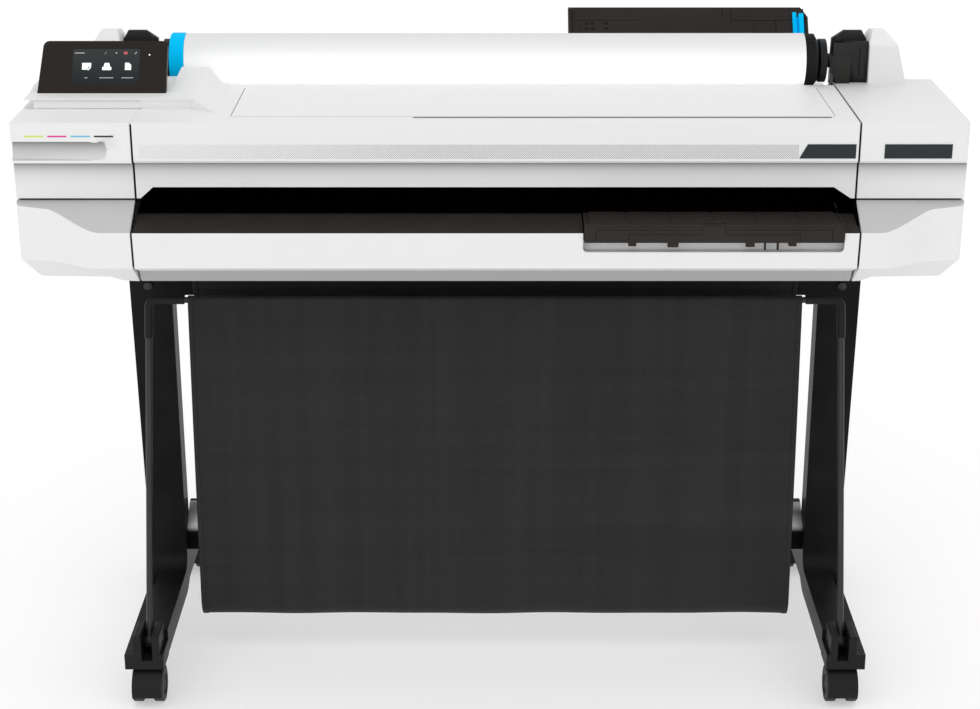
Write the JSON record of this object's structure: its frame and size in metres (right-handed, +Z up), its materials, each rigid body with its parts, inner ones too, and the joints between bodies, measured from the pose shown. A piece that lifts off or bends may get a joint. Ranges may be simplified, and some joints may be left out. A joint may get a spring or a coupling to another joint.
{
  "type": "large format plotter",
  "caption": "Wide roll-fed inkjet plotter on a wheeled black stand: white body with a hinged lid, tilted touch display, paper roll behind, output slot and hanging cloth basket.",
  "frame": {"origin": "on the floor under the middle of the overall box, between the castors", "axes": "+X along the roll to the operator's right, +Y towards the back, +Z up"},
  "size_m": [1.317, 0.524, 0.936],
  "materials": {
    "white_plastic": "fine-grained satin white",
    "grey_plastic": "satin grey",
    "dark_plastic": "satin dark brown-black",
    "display_black": "gloss black",
    "screen_glass": "gloss",
    "slate_plate": "satin slate",
    "stand_paint": "satin black powder coat",
    "rod_steel": "satin black",
    "black_plastic": "matt black",
    "wheel_plastic": "matt black",
    "bolt_steel": "blackened steel",
    "basket_cloth": "woven mesh",
    "paper": "matt white paper",
    "blue_plastic": "semi-gloss blue",
    "steel": "brushed",
    "rubber_black": "matt",
    "pulley_alloy": "machined",
    "motor_case": "satin",
    "ink_tank": "satin, with a coloured label on each"
  },
  "bodies": {
    "printer": {"left_leg": "stand_paint", "right_leg": "stand_paint", "foot_caps": "black_plastic", "cross_brace": "stand_paint", "stand_top_beam": "stand_paint", "stand_bolts": "bolt_steel", "basket_rear_bar": "rod_steel", "basket_rear_panel": "basket_cloth", "base_tray": "grey_plastic", "lower_front_panel": "white_plastic", "left_wing": "white_plastic", "right_wing": "white_plastic", "left_upper_housing": "white_plastic", "right_upper_housing": "white_plastic", "control_platform": "white_plastic", "display_housing": "display_black", "touchscreen": "screen_glass", "front_fascia": "white_plastic", "roll_bed": "white_plastic", "rear_panel": "white_plastic", "spindle_houses": "white_plastic", "spindle_brackets": "black_plastic", "output_platen": "dark_plastic", "sheet_feeder": "dark_plastic", "chassis": "steel", "guide_rail": "steel", "drive_belt": "rubber_black", "carriage_motor": "motor_case", "ink_cartridges": "ink_tank", "cartridge_bay": "dark_plastic", "service_station": "dark_plastic", "power_supply": "motor_case", "fascia_plates": "slate_plate"},
    "ink_door_leaf": {"ink_door": "white_plastic"},
    "lid": {"top_lid": "white_plastic"},
    "roll": {"spindle": "steel", "blue_hub": "blue_plastic", "knurled_hub": "black_plastic", "paper_roll": "paper"},
    "printhead_carriage": {"carriage": "dark_plastic"},
    "motor_wheel": {"motor_pulley": "pulley_alloy"},
    "idler_wheel": {"idler_pulley": "pulley_alloy"},
    "feed_shaft": {"feed_roller": "steel"},
    "pinch_shaft": {"pinch_rollers": "rubber_black"},
    "tray": {"output_tray": "dark_plastic"},
    "tray_leaf": {"tray_extension": "dark_plastic"},
    "feeder_leaf": {"feeder_extension": "dark_plastic"},
    "side_guide": {"paper_guide": "blue_plastic"},
    "basket_frame": {"basket_arms": "rod_steel", "basket_elbows": "black_plastic", "basket_front_bar": "rod_steel", "basket_front_panel": "basket_cloth"},
    "castor_front_left": {"castor_front_left_hood": "black_plastic"},
    "castor_front_left_rolling": {"castor_front_left_wheels": "wheel_plastic"},
    "castor_front_right": {"castor_front_right_hood": "black_plastic"},
    "castor_front_right_rolling": {"castor_front_right_wheels": "wheel_plastic"},
    "castor_rear_left": {"castor_rear_left_hood": "black_plastic"},
    "castor_rear_left_rolling": {"castor_rear_left_wheels": "wheel_plastic"},
    "castor_rear_right": {"castor_rear_right_hood": "black_plastic"},
    "castor_rear_right_rolling": {"castor_rear_right_wheels": "wheel_plastic"}
  },
  "joints": [
    {"name": "ink_door_hinge", "type": "hinge", "parent": "printer", "child": "ink_door_leaf", "pos_m": [-0.576, -0.0815, 0.847], "axis": [-1, 0, 0], "range_deg": [0, 65]},
    {"name": "lid_hinge", "type": "hinge", "parent": "printer", "child": "lid", "pos_m": [0.059, 0.0445, 0.848], "axis": [-1, 0, 0], "range_deg": [0, 75]},
    {"name": "roll_spin", "type": "hinge", "parent": "printer", "child": "roll", "pos_m": [0.0065, 0.1055, 0.885], "axis": [1, 0, 0], "continuous": true},
    {"name": "carriage_slide", "type": "slide", "parent": "printer", "child": "printhead_carriage", "axis": [1, 0, 0], "range_m": [-1, 0]},
    {"name": "motor_pulley_spin", "type": "hinge", "parent": "printer", "child": "motor_wheel", "pos_m": [0.604, 0.0325, 0.825], "axis": [0, 0, 1], "continuous": true},
    {"name": "idler_pulley_spin", "type": "hinge", "parent": "printer", "child": "idler_wheel", "pos_m": [-0.6, 0.0325, 0.825], "axis": [0, 0, 1], "continuous": true},
    {"name": "feed_roller_spin", "type": "hinge", "parent": "printer", "child": "feed_shaft", "pos_m": [0, 0.0125, 0.743], "axis": [1, 0, 0], "continuous": true},
    {"name": "pinch_roller_spin", "type": "hinge", "parent": "printer", "child": "pinch_shaft", "pos_m": [0, 0.0125, 0.7601], "axis": [1, 0, 0], "continuous": true},
    {"name": "output_tray_slide", "type": "slide", "parent": "printer", "child": "tray", "axis": [0, -1, 0], "range_m": [0, 0.09]},
    {"name": "tray_leaf_slide", "type": "slide", "parent": "tray", "child": "tray_leaf", "axis": [0, -1, 0], "range_m": [0, 0.07]},
    {"name": "feeder_leaf_slide", "type": "slide", "parent": "printer", "child": "feeder_leaf", "axis": [0, 0.6313, 0.7756], "range_m": [0, 0.06]},
    {"name": "side_guide_slide", "type": "slide", "parent": "printer", "child": "side_guide", "axis": [1, 0, 0], "range_m": [-0.25, 0]},
    {"name": "basket_swing", "type": "hinge", "parent": "printer", "child": "basket_frame", "pos_m": [0.0065, -0.2175, 0.088], "axis": [1, 0, 0], "range_deg": [0, 35]},
    {"name": "castor_front_left_swivel", "type": "hinge", "parent": "printer", "child": "castor_front_left", "pos_m": [-0.5035, -0.2165, 0.057], "axis": [0, 0, 1], "continuous": true},
    {"name": "castor_front_left_roll", "type": "hinge", "parent": "castor_front_left", "child": "castor_front_left_rolling", "pos_m": [-0.5035, -0.2335, 0.025], "axis": [1, 0, 0], "continuous": true},
    {"name": "castor_front_right_swivel", "type": "hinge", "parent": "printer", "child": "castor_front_right", "pos_m": [0.5165, -0.2165, 0.057], "axis": [0, 0, 1], "continuous": true},
    {"name": "castor_front_right_roll", "type": "hinge", "parent": "castor_front_right", "child": "castor_front_right_rolling", "pos_m": [0.5165, -0.2335, 0.025], "axis": [1, 0, 0], "continuous": true},
    {"name": "castor_rear_left_swivel", "type": "hinge", "parent": "printer", "child": "castor_rear_left", "pos_m": [-0.5035, 0.1925, 0.057], "axis": [0, 0, 1], "continuous": true},
    {"name": "castor_rear_left_roll", "type": "hinge", "parent": "castor_rear_left", "child": "castor_rear_left_rolling", "pos_m": [-0.5035, 0.2095, 0.025], "axis": [1, 0, 0], "continuous": true},
    {"name": "castor_rear_right_swivel", "type": "hinge", "parent": "printer", "child": "castor_rear_right", "pos_m": [0.5165, 0.1925, 0.057], "axis": [0, 0, 1], "continuous": true},
    {"name": "castor_rear_right_roll", "type": "hinge", "parent": "castor_rear_right", "child": "castor_rear_right_rolling", "pos_m": [0.5165, 0.2095, 0.025], "axis": [1, 0, 0], "continuous": true}
  ],
  "couplings": [
    {"joint": "motor_pulley_spin", "follows": "carriage_slide", "rad_per_m": 114.6},
    {"joint": "idler_pulley_spin", "follows": "carriage_slide", "rad_per_m": 114.6},
    {"joint": "pinch_roller_spin", "follows": "feed_roller_spin", "ratio": -1.8333}
  ]
}
